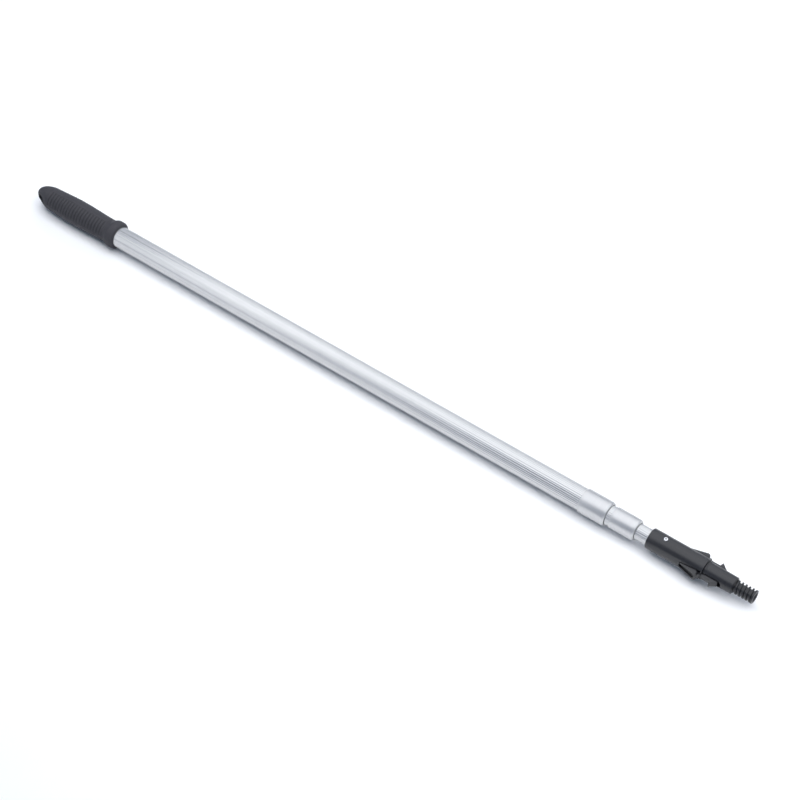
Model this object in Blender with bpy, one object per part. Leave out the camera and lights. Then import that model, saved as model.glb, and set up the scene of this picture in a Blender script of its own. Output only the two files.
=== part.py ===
"""Telescopic roller pole: three aluminium tubes, two twist locks, a rubber grip and a threaded, levered tip.

Every piece is drawn about the pole's own axis, with x = 0 at the tip of the thread and the handle at -x.
Sizes are in millimetres, and MM turns them into Blender's metres.
"""
import math

import bmesh
import bpy
from mathutils import Matrix, Vector

MM = 0.001
gap = 0.3  # between pieces that touch
around = 32  # sides of a turned piece
stable_sides = 12  # wide enough flats for the grip and the collars to lie still on a slope

# Tubes, from the outside in
outer_tube_d, outer_wall = 32.0, 1.4
middle_clearance, middle_wall = 0.6, 1.4
inner_clearance, inner_wall = 1.4, 1.3

# Places along the axis, as distances back from the tip of the thread
closed_length = 1247.0
grip_length = 165.0
outer_collar_front, outer_collar_length = 218.7, 39.9
middle_collar_front, middle_collar_length = 174.4, 37.2
socket_front, socket_length = 72.2, 83.8
thread_length = 29.4

# Collars and the bushes under their lips
outer_collar_wall, middle_collar_wall = 1.1, 0.9
lip_length, lip_round = 2.5, 4.6
bush_length = 6.0

# Grip, as thicknesses over the outer tube
waist_wall, belly_wall, flange_wall = 2.0, 4.5, 5.3
nose_length, nose_fullness = 45.0, 2.2  # a fullness of 2 is an ellipse, more is blunter
flange_length, flange_round = 20.0, 6.0
mouth_depth, mouth_clearance = 5.0, 1.7
nose_wall = 27.0  # solid rubber behind the tube's end
hang_hole_length, hang_hole_height, hang_hole_from_end = 17.0, 10.0, 13.0

# Twist locks
plug_length, plug_flange_length = 25.0, 3.0
expander_length, expander_end, slit, expander_chamfer = 29.0, 6.0, 2.2, 0.8
cone_length, cone_taper, cone_step, key, key_step = 22.0, 4.5, 2.5, 1.4, 1.5
middle_stud_d, inner_stud_d = 8.0, 6.0
stud_in_plug, stud_tail = 18.0, 1.0
nut_length, nut_share, cone_back_off = 6.0, 1.85, 3.0
lock_pin_d, lock_pin_from_end = 3.0, 4.0
end_plug_length, end_plug_flange = 14.0, 2.0
rest_gap = 3.0  # between one section's rear end and the next one's inside stop

# Threaded tip and its socket
thread_d, thread_pitch, thread_chamfer = 19.05, 5.08, 1.6
spigot_step, spigot_length = 0.225, 0.8
shoulder_step, nose_taper, neck_step, neck_length = 1.9, 0.55, 0.5, 4.5
edge_round = 0.8
socket_wall = 3.15
core_wall = 2.8  # behind the lever bosses
slot_front = 44.4
rivet_from_rear, rivet_head_r, rivet_head_height, rivet_r = 22.0, 3.5, 1.6, 2.0
rivet_bore_r, mandrel_r, rivet_tail_step, rivet_tail_length = 1.3, 0.9, 1.0, 1.6

# Levers
pivot_from_tip, pivot_offset, pivot_pin_d, boss_r = 104.0, 5.0, 3.0, 3.6
arm_height, arm_thickness, arm_stand_off, lever_gap = 9.0, 3.6, 1.4, 0.6
socket_rim, pad_from_rim, pad_length = 1.8, 1.9, 27.5
pad_rear_half, pad_front_half, pad_rise, pad_lean, pad_travel = 4.8, 7.4, 5.35, 1.8, 5.4
arm_from_slot_end, barb_from_arm_end, barb_slope, barb_back, barb_height = 4.6, 2.0, 6.5, 2.1, 6.6
spring_from_tip, spring_r, spring_wire_r, spring_turns = 86.0, 3.4, 0.4, 5
peg_r, peg_length, spring_seat = 2.2, 2.5, 8.0

# What follows from the sizes above
outer_r = outer_tube_d / 2
outer_bore = outer_r - outer_wall
middle_r = outer_bore - middle_clearance
middle_bore = middle_r - middle_wall
inner_r = middle_bore - inner_clearance
inner_bore = inner_r - inner_wall
waist_r, belly_r, flange_r = outer_r + waist_wall, outer_r + belly_wall, outer_r + flange_wall

lock_reach = gap + expander_length + expander_end + cone_back_off + gap + nut_length + stud_tail

socket_r, core_r = inner_r + gap + socket_wall, inner_r
spigot_r = thread_d / 2 + spigot_step
nose_front_r = spigot_r + shoulder_step
nose_rear_r = nose_front_r + nose_taper
neck_r = nose_rear_r + neck_step
rivet_from_tip = socket_front + socket_length - rivet_from_rear
slot_rear = pivot_from_tip + boss_r + 2 * gap
slot_height = arm_height + 2 * lever_gap
core_length = slot_rear + core_wall - socket_front

pivot_pin_half = math.sqrt(core_r ** 2 - (pivot_offset + pivot_pin_d / 2) ** 2)
pocket_floor = spring_seat - gap
window_front = socket_front + socket_rim
pad_front = window_front + pad_from_rim
pad_rear = pad_front + pad_length
pad_rear_inner, pad_front_inner = pocket_floor + gap, pocket_floor + pad_travel
arm_outer = nose_rear_r + arm_stand_off
arm_inner = arm_outer - arm_thickness
arm_front = slot_front + arm_from_slot_end
barb_front = arm_front + barb_from_arm_end
barb_tip = barb_front + barb_slope
barb_rear = barb_tip + barb_back

tip_x = closed_length / 2
origin = Vector((tip_x, 0, flange_r)) * MM


def clear_scene():
    for thing in list(bpy.data.objects):
        bpy.data.objects.remove(thing, do_unlink=True)


def finish(name, colour, roughness, metallic):
    material = bpy.data.materials.new(name)
    material.use_nodes = True
    shader = material.node_tree.nodes["Principled BSDF"]
    shader.inputs["Base Color"].default_value = (*colour, 1)
    shader.inputs["Roughness"].default_value = roughness
    shader.inputs["Metallic"].default_value = metallic
    return material


def body(name, at=origin):
    """An empty on a joint's axis, which carries the pieces that move together."""
    empty = bpy.data.objects.new(name, None)
    empty.location = at
    bpy.context.collection.objects.link(empty)
    return empty


def wrap(bm, name):
    """A mesh object from a bmesh drawn in millimetres."""
    bmesh.ops.remove_doubles(bm, verts=bm.verts, dist=0.0005)
    bmesh.ops.scale(bm, verts=bm.verts, vec=(MM, MM, MM))
    bmesh.ops.recalc_face_normals(bm, faces=bm.faces)
    mesh = bpy.data.meshes.new(name)
    bm.to_mesh(mesh)
    bm.free()
    piece = bpy.data.objects.new(name, mesh)
    bpy.context.collection.objects.link(piece)
    return piece


def place(piece, carrier, material):
    """Hands a finished shape, drawn about the tip, to the body that carries it."""
    piece.data.transform(Matrix.Translation(origin - carrier.location))
    piece.parent = carrier
    piece.data.materials.clear()
    piece.data.materials.append(material)
    piece.data.shade_smooth()
    piece.data.set_sharp_from_angle(angle=math.radians(30))
    return piece


def turned(name, outline, sides=around, closed=True):
    """Spins an outline of (x, radius) points about the pole's axis.

    Its flats touch the true circle, and one faces down.
    """
    bm = bmesh.new()
    corner = 1 / math.cos(math.pi / sides)
    points = [bm.verts.new((x, 0, radius * corner)) for x, radius in outline]
    pairs = zip(points, points[1:] + points[:1]) if closed else zip(points, points[1:])
    edges = [bm.edges.new(pair) for pair in pairs]
    half_side = Matrix.Rotation(math.pi / sides, 3, "X")
    bmesh.ops.rotate(bm, verts=points, cent=(0, 0, 0), matrix=half_side)
    bmesh.ops.spin(
        bm, geom=points + edges, cent=(0, 0, 0), axis=(1, 0, 0),
        angle=2 * math.pi, steps=sides, use_merge=True
    )
    return wrap(bm, name)


def sleeve(name, rear, front, bore, radius, sides=around):
    return turned(name, [(rear, bore), (rear, radius), (front, radius), (front, bore)], sides)


def rod(name, start, end, radius, axis="X", at=(0, 0, 0), sides=16):
    """A solid round bar along an axis, from start to end as measured along it."""
    bm = bmesh.new()
    bmesh.ops.create_cone(
        bm, cap_ends=True, segments=sides, radius1=radius, radius2=radius, depth=end - start,
        matrix=Matrix.Translation((0, 0, (start + end) / 2)),
    )
    if axis != "Z":
        turn = Matrix.Rotation(math.pi / 2, 3, "Y") if axis == "X" else Matrix.Rotation(-math.pi / 2, 3, "X")
        bmesh.ops.rotate(bm, verts=bm.verts, cent=(0, 0, 0), matrix=turn)
    bmesh.ops.translate(bm, verts=bm.verts, vec=at)
    return wrap(bm, name)


def block(name, low, high):
    bm = bmesh.new()
    bmesh.ops.create_cube(bm, size=1)
    low, high = Vector(low), Vector(high)
    bmesh.ops.scale(bm, verts=bm.verts, vec=high - low)
    bmesh.ops.translate(bm, verts=bm.verts, vec=(low + high) / 2)
    return wrap(bm, name)


def slab(name, outline, half, plane="XY"):
    """Extrudes an outline by half each way from its plane."""
    bm = bmesh.new()
    if plane == "XY":
        corners = [bm.verts.new((x, y, -half)) for x, y in outline]
        lift = (0, 0, 2 * half)
    else:
        corners = [bm.verts.new((x, -half, z)) for x, z in outline]
        lift = (0, 2 * half, 0)
    face = bm.faces.new(corners)
    raised = bmesh.ops.extrude_face_region(bm, geom=[face])["geom"]
    bmesh.ops.translate(bm, verts=[v for v in raised if isinstance(v, bmesh.types.BMVert)], vec=lift)
    return wrap(bm, name)


def join(piece, tool, operation="DIFFERENCE"):
    """Cuts a tool from a piece, or adds it, and throws the tool away."""
    step = piece.modifiers.new(operation.lower(), "BOOLEAN")
    step.operation, step.object, step.solver = operation, tool, "EXACT"
    shaped = piece.evaluated_get(bpy.context.evaluated_depsgraph_get())
    mesh = bpy.data.meshes.new_from_object(shaped)
    piece.modifiers.clear()
    piece.data = mesh
    bpy.data.objects.remove(tool, do_unlink=True)
    return piece


def arc(centre_x, centre_r, size_x, size_r, start, end, steps):
    """Points of an elliptical arc, with its angles in degrees from +x towards larger radius."""
    turn = [math.radians(start + (end - start) * i / steps) for i in range(steps + 1)]
    return [(centre_x + size_x * math.cos(a), centre_r + size_r * math.sin(a)) for a in turn]


def make_grip(carrier, rubber):
    rear, front = -closed_length, grip_length - closed_length
    bore_end = rear + nose_wall
    bore = outer_r + gap
    belly, flange_rear = rear + nose_length, front - flange_length
    nose = [
        (belly - nose_length * c ** (2 / nose_fullness), belly_r * r ** (2 / nose_fullness))
        for c, r in arc(0, 0, 1, 1, 0, 90, 8)
    ]
    taper_length = flange_rear - belly
    taper = [
        (belly + taper_length * s, belly_r + (waist_r - belly_r) * (3 * s * s - 2 * s ** 3))
        for s in (0.25, 0.5, 0.75, 1)
    ]
    flare = arc(flange_rear + flange_round, flange_r - flange_round, -flange_round, flange_round, 30, 90, 3)
    lip = arc(front - flange_round, flange_r - flange_round, flange_round, flange_round, 90, 10, 4)
    mouth_r = outer_r + mouth_clearance
    mouth_end = front - mouth_depth
    mouth = [(front - 1, mouth_r), (mouth_end, mouth_r), (mouth_end, bore), (bore_end, bore), (bore_end, 0)]
    outline = nose + taper + flare + lip + mouth
    grip = turned("grip", outline, stable_sides, closed=False)
    half = hang_hole_height / 2
    middle_x, reach = rear + hang_hole_from_end, hang_hole_length / 2 - half
    hole = arc(middle_x + reach, 0, half, half, -90, 90, 6) + arc(middle_x - reach, 0, half, half, 90, 270, 6)
    join(grip, slab("hang_hole", hole, belly_r + 1, plane="XZ"))
    place(grip, carrier, rubber)


def make_outer_section(carrier, metal, collar_metal, plastic):
    bore_end = nose_wall - closed_length
    tube_rear = bore_end + end_plug_flange + 2 * gap
    tube_front = -outer_collar_front - lip_length - bush_length - 2 * gap
    place(sleeve("outer_tube", tube_rear, tube_front, outer_bore, outer_r), carrier, metal)
    plug_rear, plug_front, plug_r = bore_end + gap, bore_end + end_plug_length, outer_bore - gap
    flange_front = plug_rear + end_plug_flange
    outline = [(plug_rear, 0), (plug_rear, outer_r), (flange_front, outer_r), (flange_front, plug_r)]
    outline += [(plug_front, plug_r), (plug_front, 0)]
    place(turned("end_plug", outline, closed=False), carrier, plastic)
    make_collar("outer", carrier, collar_metal, plastic, -outer_collar_front, outer_collar_length,
                outer_r, outer_collar_wall, middle_r)


def make_collar(section, carrier, metal, plastic, front, length, tube_r, wall, inner_tube_r):
    """A ferrule over the tube's end, rounded over a lip, with a wear bush between the lip and the tube."""
    bore, lip_bore = tube_r + gap, inner_tube_r + 2 * gap
    radius, rear = bore + wall, front - length
    shoulder = arc(front - lip_round, lip_bore, lip_round, radius - lip_bore, 90, 0, 5)
    outline = [(rear, bore), (rear, radius - wall / 2), (rear + wall, radius)] + shoulder
    outline += [(front - lip_length, lip_bore), (front - lip_length, bore)]
    place(turned(section + "_collar", outline, stable_sides), carrier, metal)
    bush_front = front - lip_length - gap
    bush = sleeve(section + "_guide_bush", bush_front - bush_length, bush_front, inner_tube_r + gap, tube_r)
    place(bush, carrier, plastic)


def make_lock(section, carriers, plug_rear, host_bore, tube_r, tube_bore, stud_r, plastic, steel):
    """A plug in the tube's rear end, and behind it a stud, a slit expander, a keyed cone and a stop nut.

    carriers are the bodies of the section, of its expander and of its cone.
    """
    section_body, expander_body, cone_body = carriers
    flange_front = plug_rear + plug_flange_length
    plug_front = flange_front + plug_length
    plug_r, bore = tube_bore - gap, stud_r + gap
    pin_x = plug_front - lock_pin_from_end
    stud_front = plug_rear + stud_in_plug
    plug = turned(
        section + "_lock_plug",
        [
            (plug_rear, bore), (plug_rear, tube_r), (flange_front, tube_r), (flange_front, plug_r),
            (plug_front, plug_r), (plug_front, 0), (stud_front + gap, 0), (stud_front + gap, bore),
            (plug_rear, bore),
        ],
        closed=False,
    )
    join(plug, rod("pin_hole", -tube_r, tube_r, lock_pin_d / 2 + gap, "Y", (pin_x, 0, 0)))
    place(plug, section_body, plastic)
    pin_half = math.sqrt(tube_r ** 2 - (lock_pin_d / 2) ** 2) - gap
    pin = rod(section + "_lock_pin", -pin_half, pin_half, lock_pin_d / 2, "Y", (pin_x, 0, 0))
    place(pin, section_body, steel)

    expander_r = host_bore - gap
    expander_front = plug_rear - gap
    expander_rear = expander_front - expander_length
    cone_r = expander_r - cone_step
    taper_length = expander_length - expander_end
    taper_end = expander_rear + taper_length
    cone_rear = expander_rear - expander_end
    cone_front = cone_rear + cone_length
    slope = cone_taper / cone_length
    mouth_r = cone_r - slope * (expander_rear - cone_rear) + gap
    expander = turned(
        section + "_expander",
        [
            (expander_rear, mouth_r), (expander_rear, expander_r - expander_chamfer),
            (expander_rear + 2, expander_r), (expander_front - 2, expander_r),
            (expander_front, expander_r - expander_chamfer), (expander_front, bore),
            (taper_end, bore), (taper_end, mouth_r - slope * taper_length),
        ],
    )
    start, end, wide, thin = expander_rear - 1, taper_end, expander_r + 1, slit / 2
    join(expander, block("slit", (start, -thin, -wide), (end, thin, wide)))
    join(expander, block("slit", (start, -wide, -thin), (end, wide, thin)))
    place(expander, expander_body, plastic)

    cone = turned(
        section + "_lock_cone",
        [(cone_rear, bore), (cone_rear, cone_r), (cone_front, cone_r - cone_taper), (cone_front, bore)],
    )
    key_r = expander_r - key_step
    for side in (-1, 1):
        low, high = sorted((side * (bore + gap), side * key_r))
        join(cone, block("key", (cone_rear + 2, -key / 2, low), (cone_front - 2, key / 2, high)), "UNION")
    place(cone, cone_body, plastic)

    nut_front = cone_rear - cone_back_off - gap
    nut_rear = nut_front - nut_length
    nut = rod(section + "_stop_nut", nut_rear, nut_front, stud_r * nut_share, sides=6)
    join(nut, rod("nut_bore", nut_rear - 1, nut_front + 1, bore, sides=24))
    place(nut, section_body, steel)
    stud = rod(section + "_lock_stud", nut_rear - stud_tail, stud_front, stud_r, sides=24)
    place(stud, section_body, steel)
    return plug_front, pin_x


def section_tube(section, rear, front, bore, radius, pin_x):
    tube = sleeve(section + "_tube", rear, front, bore, radius)
    return join(tube, rod("pin_hole", -radius - 1, radius + 1, lock_pin_d / 2 + gap, "Y", (pin_x, 0, 0)))


def thread(name, front, length):
    """The trapezoidal screw at the tip, with a chamfered end."""
    depth, flank, steps = thread_pitch / 2, thread_pitch * 0.13, 24
    crest_r, root_r = thread_d / 2, thread_d / 2 - depth
    start = front - length - thread_pitch
    ridge = [
        (0, root_r), (0.37, root_r), (0.37 + flank / thread_pitch, crest_r), (0.87, crest_r), (1, root_r)
    ]
    bm = bmesh.new()
    points = [bm.verts.new((start - thread_pitch + thread_pitch * share, 0, r)) for share, r in ridge]
    edges = [bm.edges.new(pair) for pair in zip(points, points[1:])]
    turns = math.ceil(length / thread_pitch) + 3
    bmesh.ops.spin(
        bm, geom=points + edges, cent=(0, 0, 0), axis=(1, 0, 0), dvec=(thread_pitch / steps, 0, 0),
        angle=2 * math.pi * turns, steps=steps * turns, use_merge=False,
    )
    bmesh.ops.remove_doubles(bm, verts=bm.verts, dist=0.001)
    for cut_x, outward in ((front, 1), (start, -1)):
        geometry = list(bm.verts) + list(bm.edges) + list(bm.faces)
        bmesh.ops.bisect_plane(
            bm, geom=geometry, plane_co=(cut_x, 0, 0), plane_no=(outward, 0, 0), clear_outer=True
        )
        rim = [e for e in bm.edges if e.is_boundary and abs(e.verts[0].co.x - cut_x) < 0.01]
        bmesh.ops.edgeloop_fill(bm, edges=rim)
    screw = wrap(bm, name)
    limit = turned(
        "chamfer",
        [(start - 1, 0), (start - 1, crest_r + 1), (front - thread_chamfer - 1, crest_r + 1),
         (front + 1, root_r - 0.5), (front + 1, 0)],
        closed=False,
    )
    return join(screw, limit, "INTERSECT")


def make_threaded_tip(carrier, plastic):
    """Core, neck, nose and screw in one moulding, slotted through for the two levers."""
    neck_rear, shoulder = -socket_front, -thread_length
    nose_rear, core_rear = neck_rear + neck_length, neck_rear - core_length
    tip = turned(
        "threaded_tip",
        [
            (core_rear, 0), (core_rear, core_r), (neck_rear + gap, core_r), (neck_rear + gap, neck_r),
            (nose_rear - 1, neck_r), (nose_rear, nose_rear_r), (shoulder - edge_round, nose_front_r),
            (shoulder, nose_front_r - edge_round), (shoulder, spigot_r), (shoulder + spigot_length, spigot_r),
            (shoulder + spigot_length, 0),
        ],
        closed=False,
    )
    join(tip, thread("screw", 0, thread_length), "UNION")
    half = slot_height / 2
    slot = [(-slot_rear, -half)] + arc(-slot_front - half, 0, half, half, -90, 90, 8) + [(-slot_rear, half)]
    join(tip, slab("slot", slot, socket_r + 1, plane="XZ"))
    for side in (-1, 1):
        low, high = sorted((side * pocket_floor, side * (socket_r + 1)))
        pocket_half = pad_front_half + lever_gap
        pocket = block("pocket", (core_rear - 1, low, -pocket_half), (neck_rear + gap / 2, high, pocket_half))
        join(tip, pocket)
        at = (-pivot_from_tip, side * pivot_offset, 0)
        hole = pivot_pin_d / 2 + gap
        join(tip, rod("pivot_hole", -core_r, core_r, hole, "Z", at))
    place(tip, carrier, plastic)


def wedge(name, side, rear, front, lean=0.0):
    """A pad that rises and widens from rear to front, each end given as (x, inner, outer, half width).

    lean sets its outer front edge back.
    """
    bm = bmesh.new()
    rings = []
    for (x, low, high, half), back in ((rear, 0), (front, lean)):
        corners = ((x, low, -half), (x - back, high, -half), (x - back, high, half), (x, low, half))
        rings.append([bm.verts.new((px, side * py, pz)) for px, py, pz in corners])
    bm.faces.new(rings[0])
    bm.faces.new(rings[1])
    for i in range(4):
        j = (i + 1) % 4
        bm.faces.new((rings[0][i], rings[0][j], rings[1][j], rings[1][i]))
    return wrap(bm, name)


def make_socket(carrier, plastic):
    front, bore = -socket_front, inner_r + gap
    rear = front - socket_length
    socket = turned(
        "tip_socket",
        [
            (rear, bore), (rear, socket_r - edge_round), (rear + edge_round, socket_r),
            (front - edge_round, socket_r), (front, socket_r - edge_round), (front, bore),
        ],
    )
    beyond = socket_r + 1
    for side in (-1, 1):
        window = wedge(
            "window", side,
            (-pad_rear - lever_gap, pocket_floor, beyond, pad_rear_half + lever_gap),
            (-window_front, pocket_floor, beyond, pad_front_half + lever_gap),
        )
        join(socket, window)
        low, high = sorted((side * pocket_floor, side * beyond))
        half = slot_height / 2
        join(socket, block("notch", (-window_front - 1, low, -half), (front + 1, high, half)))
        low, high = sorted((side * (socket_r - 2 * gap), side * beyond))
        join(socket, rod("rivet_seat", low, high, rivet_head_r + gap, "Z", (-rivet_from_tip, 0, 0)))
        low, high = sorted((0, side * socket_r))
        join(socket, rod("rivet_hole", low, high, rivet_r + gap, "Z", (-rivet_from_tip, 0, 0)))
    place(socket, carrier, plastic)


def upright(piece, side):
    """Stands a shape that was turned about x on the rivet's axis, above or below the pole."""
    turn = Matrix.Rotation(-side * math.pi / 2, 4, "Y")
    piece.data.transform(Matrix.Translation(Vector((-rivet_from_tip, 0, 0)) * MM) @ turn)
    return piece


def make_rivets(carrier, aluminium, steel):
    seat = socket_r - gap
    tail_r, bulb_r = rivet_r + rivet_tail_step, rivet_bore_r + 0.5
    head_top, tail_top = seat + rivet_head_height, math.sqrt(inner_bore ** 2 - tail_r ** 2) - gap
    tail_low = tail_top - rivet_tail_length
    rivet_outline = [
        (tail_low, rivet_bore_r), (tail_low, tail_r), (tail_top, tail_r), (tail_top, rivet_r),
        (seat, rivet_r), (seat, rivet_head_r), (seat + rivet_head_height * 0.45, rivet_head_r * 0.97),
        (head_top - 0.2, rivet_head_r * 0.72), (head_top, rivet_head_r * 0.5), (head_top - 0.2, rivet_bore_r),
    ]
    mandrel_outline = [
        (tail_low - 2, 0), (tail_low - 2, rivet_bore_r), (tail_low - gap, bulb_r),
        (tail_low - gap, mandrel_r), (seat - 1, mandrel_r), (seat - 1, 0),
    ]
    for side, where in ((1, "top"), (-1, "bottom")):
        rivet = turned("rivet_" + where, rivet_outline, sides=16)
        place(upright(rivet, side), carrier, aluminium)
        mandrel = turned("rivet_mandrel_" + where, mandrel_outline, sides=12, closed=False)
        place(upright(mandrel, side), carrier, steel)


def make_lever(name, side, carrier, plastic):
    """An arm on a boss, with a barb at its front, a finger pad outside and a spring peg inside."""
    pivot_x, half = -pivot_from_tip, arm_height / 2
    boss = arc(pivot_x, pivot_offset, boss_r, boss_r, 60, 300, 12)
    outline = boss + [
        (pivot_x + boss_r + 2, spring_seat - 2.5), (pivot_x + boss_r + 4.5, spring_seat),
        (-pad_front, spring_seat), (-arm_front - 1, arm_inner), (-arm_front, arm_inner + 1),
        (-arm_front, arm_outer - 1.4), (-barb_front, arm_outer - 0.4), (-barb_tip, nose_rear_r + barb_height),
        (-barb_tip - 0.7, nose_rear_r + barb_height - 0.3), (-barb_rear, arm_outer), (-pad_front, arm_outer),
        (-pad_rear, pad_rear_inner + 1),
    ]
    lever = slab(name, [(x, side * y) for x, y in outline], half)
    pad = wedge(
        "pad", side,
        (-pad_rear, pad_rear_inner, socket_r - gap, pad_rear_half),
        (-pad_front, pad_front_inner, socket_r + pad_rise, pad_front_half), pad_lean,
    )
    join(lever, pad, "UNION")
    low, high = sorted((side * (spring_seat - peg_length), side * (spring_seat + 1)))
    join(lever, rod("peg", low, high, peg_r, "Y", (-spring_from_tip, 0, 0)), "UNION")
    hole = pivot_pin_d / 2 + gap
    join(lever, rod("bore", -half - 1, half + 1, hole, "Z", (pivot_x, side * pivot_offset, 0), sides=24))
    place(lever, carrier, plastic)


def make_spring(carrier, steel):
    """A small compression spring between the two levers, with a few closed coils' worth of turns."""
    points, sides = 12, 6
    reach = spring_seat - gap - spring_wire_r
    bm = bmesh.new()
    rings = []
    steps = points * spring_turns
    for i in range(steps + 1):
        angle, y = 2 * math.pi * i / points, -reach + 2 * reach * i / steps
        out = Vector((math.cos(angle), 0, math.sin(angle)))
        centre = Vector((-spring_from_tip, y, 0)) + out * spring_r
        ring = []
        for k in range(sides):
            around_wire = 2 * math.pi * k / sides
            offset = out * math.cos(around_wire) + Vector((0, 1, 0)) * math.sin(around_wire)
            ring.append(bm.verts.new(centre + offset * spring_wire_r))
        rings.append(ring)
    for first, second in zip(rings, rings[1:]):
        for k in range(sides):
            j = (k + 1) % sides
            bm.faces.new((first[k], first[j], second[j], second[k]))
    bm.faces.new(rings[0])
    bm.faces.new(rings[-1])
    place(wrap(bm, "lever_spring"), carrier, steel)


def make_inner_tube(carrier, metal, rear, pin_x):
    front = -socket_front - core_length - gap
    tube = section_tube("inner", rear, front, inner_bore, inner_r, pin_x)
    hole = rod("rivet_hole", -inner_r - 1, inner_r + 1, rivet_r + gap, "Z", (-rivet_from_tip, 0, 0))
    place(join(tube, hole), carrier, metal)


def main():
    clear_scene()
    anodised = finish("anodised_aluminium", (0.80, 0.82, 0.84), 0.34, 0.9)
    ferrule = finish("collar_aluminium", (0.72, 0.74, 0.76), 0.42, 0.9)
    rubber = finish("grip_rubber", (0.035, 0.035, 0.038), 0.72, 0.0)
    nylon = finish("black_nylon", (0.03, 0.03, 0.034), 0.45, 0.0)
    acetal = finish("white_acetal", (0.75, 0.75, 0.72), 0.4, 0.0)
    steel = finish("zinc_steel", (0.62, 0.63, 0.64), 0.3, 1.0)
    bright = finish("rivet_aluminium", (0.85, 0.86, 0.87), 0.22, 1.0)

    outer = body("outer_section")
    middle = body("middle_section")
    middle_expander = body("middle_expander_body")
    middle_cone = body("middle_cone_body")
    inner = body("inner_section")
    inner_expander = body("inner_expander_body")
    inner_cone = body("inner_cone_body")

    make_grip(outer, rubber)
    make_outer_section(outer, anodised, ferrule, acetal)

    end_plug_face = nose_wall - closed_length + end_plug_length
    middle_plug_rear = end_plug_face + rest_gap + lock_reach
    middle_plug_front, pin_x = make_lock(
        "middle", (middle, middle_expander, middle_cone), middle_plug_rear, outer_bore, middle_r, middle_bore,
        middle_stud_d / 2, acetal, steel,
    )
    tube_rear = middle_plug_rear + plug_flange_length + gap
    tube_front = -middle_collar_front - lip_length - bush_length - 2 * gap
    place(section_tube("middle", tube_rear, tube_front, middle_bore, middle_r, pin_x), middle, anodised)
    make_collar("middle", middle, ferrule, acetal, -middle_collar_front, middle_collar_length, middle_r,
                middle_collar_wall, inner_r)

    inner_plug_rear = middle_plug_front + rest_gap + lock_reach
    _, pin_x = make_lock(
        "inner", (inner, inner_expander, inner_cone), inner_plug_rear, middle_bore, inner_r, inner_bore,
        inner_stud_d / 2, acetal, steel,
    )
    make_inner_tube(inner, anodised, inner_plug_rear + plug_flange_length + gap, pin_x)

    make_socket(inner, nylon)
    make_threaded_tip(inner, nylon)
    make_rivets(inner, bright, steel)
    make_spring(inner, steel)
    for name, side in (("near", -1), ("far", 1)):
        pivot = Vector((-pivot_from_tip, side * pivot_offset, 0))
        pin = rod("lever_pin_" + name, -pivot_pin_half, pivot_pin_half, pivot_pin_d / 2, "Z", pivot)
        place(pin, inner, steel)
        make_lever(name + "_lever", side, body(name + "_lever_body", origin + pivot * MM), nylon)


main()
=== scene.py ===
import math

import bmesh
import bpy
from mathutils import Matrix, Vector


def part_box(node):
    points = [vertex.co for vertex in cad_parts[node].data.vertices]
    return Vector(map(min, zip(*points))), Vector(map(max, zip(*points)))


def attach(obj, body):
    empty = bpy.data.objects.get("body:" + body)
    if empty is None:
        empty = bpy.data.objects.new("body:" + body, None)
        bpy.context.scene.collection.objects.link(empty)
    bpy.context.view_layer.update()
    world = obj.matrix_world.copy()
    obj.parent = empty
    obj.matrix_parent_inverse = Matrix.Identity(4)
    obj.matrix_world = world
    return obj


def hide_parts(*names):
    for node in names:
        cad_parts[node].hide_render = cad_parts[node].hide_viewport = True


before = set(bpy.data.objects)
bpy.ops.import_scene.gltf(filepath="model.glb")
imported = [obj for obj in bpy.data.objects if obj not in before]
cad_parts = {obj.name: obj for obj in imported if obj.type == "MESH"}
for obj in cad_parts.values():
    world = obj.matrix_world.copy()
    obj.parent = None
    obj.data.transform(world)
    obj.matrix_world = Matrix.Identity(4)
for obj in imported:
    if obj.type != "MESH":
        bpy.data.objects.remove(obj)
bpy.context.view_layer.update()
print("frame loaded")

# Pieces are drawn in millimetres about the tubes' axis, with x = 0 at the end of the thread
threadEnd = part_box("threaded_tip")[1].x
axisHeight = (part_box("outer_tube")[0].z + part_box("outer_tube")[1].z) / 2
toFrame = Matrix.Translation((threadEnd, 0, axisHeight)) @ Matrix.Scale(0.001, 4)
aroundX = Matrix.Rotation(math.pi / 2, 3, "Y")  # stands a flat circle across the pole
mergeDistance = 0.0008  # far below the finest detail


def reach(node):
    # rear end, front end and radius of a CAD node
    low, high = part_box(node)
    return 1000 * (low.x - threadEnd), 1000 * (high.x - threadEnd), 500 * (high.z - low.z)


class Value:
    # a socket that Python's own operators can work on
    def __init__(self, finish, socket):
        self.finish, self.socket = finish, socket

    def maths(self, operation, *others):
        inputs = dict(enumerate(others))
        return self.finish.node("ShaderNodeMath", {"operation": operation}, inputs)

    def __add__(self, other):
        return self.maths("ADD", self, other)

    __radd__ = __add__

    def __mul__(self, other):
        return self.maths("MULTIPLY", self, other)

    __rmul__ = __mul__

    def __rsub__(self, other):
        return self.maths("SUBTRACT", other, self)

    def clamped(self, low, high):
        # 0 below low and 1 above high
        return self.finish.node(
            "ShaderNodeMapRange", {"clamp": True, "interpolation_type": "SMOOTHSTEP"},
            {"Value": self, "From Min": low, "From Max": high}
        )


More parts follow.
